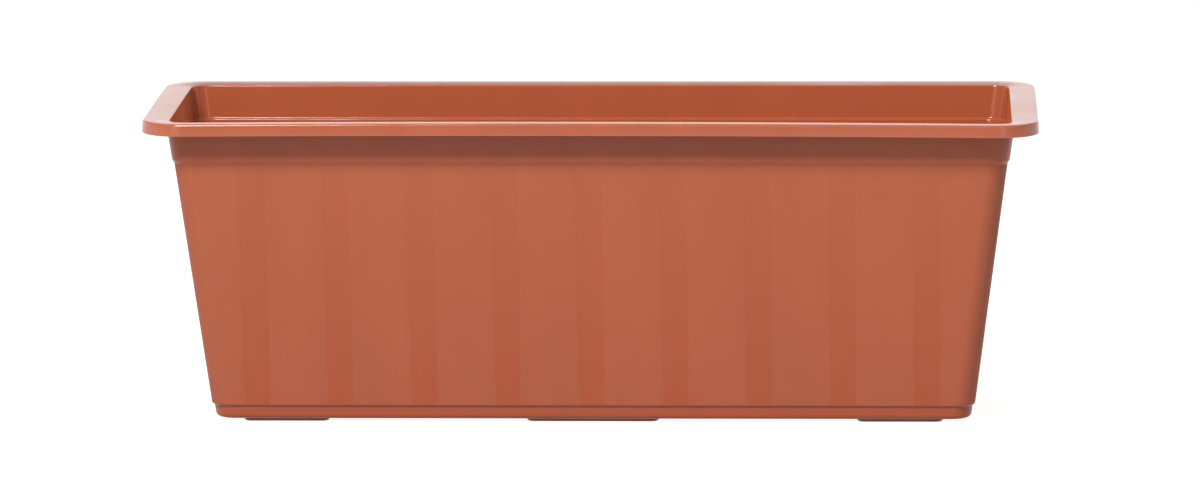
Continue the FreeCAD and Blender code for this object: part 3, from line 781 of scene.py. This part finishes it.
def hole_patch(centre_x, centre_y):
    """Rings from the upper square to the hole, down its bore, and out to the lower square: each
    ring is the square's loop of points, scaled towards the centre to the ring's radius."""
    xs = X_LINES[np.abs(X_LINES - centre_x) < HOLE_PATCH + 0.01]
    ys = Y_LINES[np.abs(Y_LINES - centre_y) < HOLE_PATCH + 0.01]
    left, right = (np.full(len(ys) - 1, edge) for edge in (xs[0], xs[-1]))
    front, back = (np.full(len(xs) - 1, edge) for edge in (ys[0], ys[-1]))
    dx = np.concatenate([xs[:-1], right, xs[:0:-1], left]) - centre_x
    dy = np.concatenate([front, ys[:-1], back, ys[:0:-1]]) - centre_y
    size = np.hypot(dx, dy)
    rings = np.vstack([EDGE_RINGS * [1, -1] + [HOLE_RADIUS, FLOOR_TOP],
                       EDGE_RINGS[::-1] + [HOLE_RADIUS, FLOOR_UNDERSIDE]])
    reach = np.vstack([size, rings[:, :1] * np.ones_like(size), size]) / size
    heights = np.concatenate([[FLOOR_TOP], rings[:, 1], [FLOOR_UNDERSIDE]])[:, None] * np.ones_like(size)
    points = np.stack([centre_x + reach * dx, centre_y + reach * dy, heights], axis=2)
    # The upper face is polished as the inside is, the bore is milled, and the lower face is papered.
    finish = np.repeat([GLOSS_PAINTED_SHADE] * 3 + [SMOOTH] * 3 + [PAPERED] * 3, len(size))
    return points, quads(*points.shape[:2], closed=True), finish


holes = [hole_patch(x, y) for x in HOLES_X for y in HOLES_Y]
print("hole patches:", len(holes), "of", holes[0][0].shape[:2], "points")

# %% [markdown]
# ## Weld the trough
#
# The trough is one moulding, so it is one piece here too. Its surfaces could stay separate objects, but then
# light would leak between them and each would be shaded on its own. The walls, the floor's faces and the hole
# patches meet on the same points, so welding closes the skin. The finished piece stands for the plain CAD
# trough, which is hidden.

# %% Trough
trough = skin("moulded_trough", [wall_surface] + floor_surfaces + holes, finishes)
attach(trough, "box")
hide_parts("trough")

# %% [markdown]
# ## Gussets under the rim
#
# Short ribs tie the lip to the wall under the flange, one in line with each band. A bevelled box could
# stand for each, but it would meet the sloping wall badly. So a rib is a small U-shaped section
# carried from the lip to the wall, thinner at its lower edge so that it leaves the mould, and its
# lower edge arches upwards in the middle. Its ends and its root lie inside the moulding.

# %% Shape of one rib
RIB_HALF, RIB_DEPTH = 0.8, 3.5
# How far inside the rim's outline a rib starts, how far it ends in the wall, and how far its root
# lies in the flange.
RIB_START, RIB_BITE, RIB_ROOT = 1.2, 0.8, 0.2
RIB_ARCH = 0.32
RIB_STEPS = 9
# Half widths across the section, and how far down each point lies: 0 at the root, 1 at the edge.
U_SECTION = np.array([[-1.0, 0.06], [-0.86, 0.75], [-0.78, 0.94], [-0.55, 1.0],
                      [0.55, 1.0], [0.78, 0.94], [0.86, 0.75], [1.0, 0.06]])
span = np.linspace(0, 1, RIB_STEPS)[:, None]
# At both ends the section shrinks to one point, which closes the rib.
span = np.vstack([span[:1], span, span[-1:]])
opened = np.array([0.0] + [1.0] * RIB_STEPS + [0.0])[:, None]
rib_length = wall(FLANGE_UNDERSIDE, 0.0) + RIB_BITE - RIB_START
rib_in = span * rib_length + RIB_START
rib_depth = RIB_DEPTH * (1 - RIB_ARCH * np.sin(math.pi * span) ** 2)
rib_x = RIB_HALF * U_SECTION[None, :, 0] * opened
down_share = 0.5 + (U_SECTION[None, :, 1] - 0.5) * opened
rib_z = FLANGE_UNDERSIDE + RIB_ROOT - (rib_depth + RIB_ROOT) * down_share
print("a rib is", round(rib_length, 1), "mm long and", round(2 * RIB_HALF, 1), "mm thick")

# %% Gussets
ribs = []
for bands, half, along_x in ((side_bands, HALF_WIDTH, True), (end_bands, HALF_LENGTH, False)):
    for side in (-1, 1):
        along = bands[:, None, None] + rib_x
        away = side * (half - rib_in) * np.ones_like(along)
        z = rib_z * np.ones_like(along)
        grid = np.stack([along, away, z] if along_x else [away, along, z], axis=3)
        ribs += [(rib, quads(*rib.shape[:2], closed=True), SMOOTH) for rib in settled(grid)]
gussets = skin("rim_gussets", ribs, finishes)
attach(gussets, "box")
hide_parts("trough")

# %% [markdown]
# ## Drain plugs
#
# A push-in plug is a shallow round cup with a flat head and a grip tab across it. The Screw and
# Bevel modifiers could make it, but numpy gives the same shape with every edge radius in the
# drawing. The cup is a line turned about the plug's axis. The tab is a rounded oblong carried
# upwards, drawn in a little for draft and closed along its top.


# %% Turned and oblong surfaces
def turned(line, steps):
    """Every point (r, z) of a line goes round the axis: (r cos a, r sin a, z)."""
    angle = np.arange(steps) / steps * 2 * math.pi
    r, z = line[:, :1], line[:, 1:]
    return np.stack([r * np.cos(angle), r * np.sin(angle), z * np.ones_like(angle)], axis=2)


def oblong(length, width, levels, steps):
    """A stadium outline drawn in by a distance at each level (height, drawn in): its half width is
    width / 2 - drawn in, and its straight sides keep their length."""
    angle = np.linspace(0, math.pi, steps)
    straight = (length - width) / 2
    level, drawn = levels[:, :1], levels[:, 1:]
    r = width / 2 - drawn
    x = np.hstack([straight + r * np.sin(angle), -straight - r * np.sin(angle)])
    y = np.hstack([-r * np.cos(angle), r * np.cos(angle)])
    return np.stack([x, y, level * np.ones_like(x)], axis=2)


one_turn = turned(np.array([[1.0, 0.0]]), 4)[0, :, :2]
print("a point at radius 1 turned in four steps:", np.round(one_turn, 3).tolist())

# %% Plug surfaces
# Radii of the head, of its flat middle, of the stem and of the hollow inside the stem.
HEAD, HEAD_FLAT, STEM, BORE = 9.5, 8.2, 5.92, 4.32
# Heights above the head's underside: of its top and of its edge, and how far the stem goes down.
HEAD_THICK, HEAD_EDGE, STEM_LENGTH = 1.6, 1.25, 3.1
CUP_STEPS, TURN_STEPS = 4, 48
TAB_LENGTH, TAB_WIDTH, TAB_STEPS = 9.0, 2.2, 9
# Radius and height at each corner of the cup's line, from the middle of the head's top, round the
# head and the stem, to the middle of the hollow. Then how much the corners between are rounded.
cup = np.array([
    [0.0, HEAD_THICK], [HEAD_FLAT, HEAD_THICK], [HEAD, HEAD_EDGE], [HEAD, 0.0], [STEM, 0.0],
    [STEM, -STEM_LENGTH], [BORE, -STEM_LENGTH], [BORE, 0.0], [0.0, 0.0]])
cup_radii = np.array([0.8, 0.5, 0.3, 0.15, 0.5, 0.3, 0.5])
cup_surface = turned(soften(cup, cup_radii, CUP_STEPS), TURN_STEPS)
# Height and how far the outline is drawn in. Drawn in by half its width, the tab closes.
tab_levels = np.array([
    [1.2, 1.1], [1.2, -0.35], [1.62, -0.32], [1.8, -0.06], [2.1, 0.0], [4.4, 0.12],
    [4.85, 0.22], [5.1, 0.45], [5.2, 0.75], [5.2, 1.1]])
tab_surface = oblong(TAB_LENGTH, TAB_WIDTH, tab_levels, TAB_STEPS)
print("cup:", cup_surface.shape, "tab:", tab_surface.shape)

# %% Six plugs
# A plug's head lies this far above the floor, so that it moves without rubbing.
HEAD_GAP = 0.1
plug_nodes = [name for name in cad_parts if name.startswith("drain_plug")]
for name in plug_nodes:
    corner_low, corner_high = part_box(name)
    centre = (np.array(corner_low) + np.array(corner_high)) / 2 / MM
    seat = np.array([centre[0], centre[1], FLOOR_TOP + HEAD_GAP])
    parts = [cup_surface + seat, tab_surface + seat]
    surfaces = [(part, quads(*part.shape[:2], closed=True), 0) for part in parts]
    plug = skin(name.replace("drain_plug", "push_in_plug"), surfaces, [finishes[SMOOTH]])
    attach(plug, name)
    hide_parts(name)
print("plugs:", len(plug_nodes))
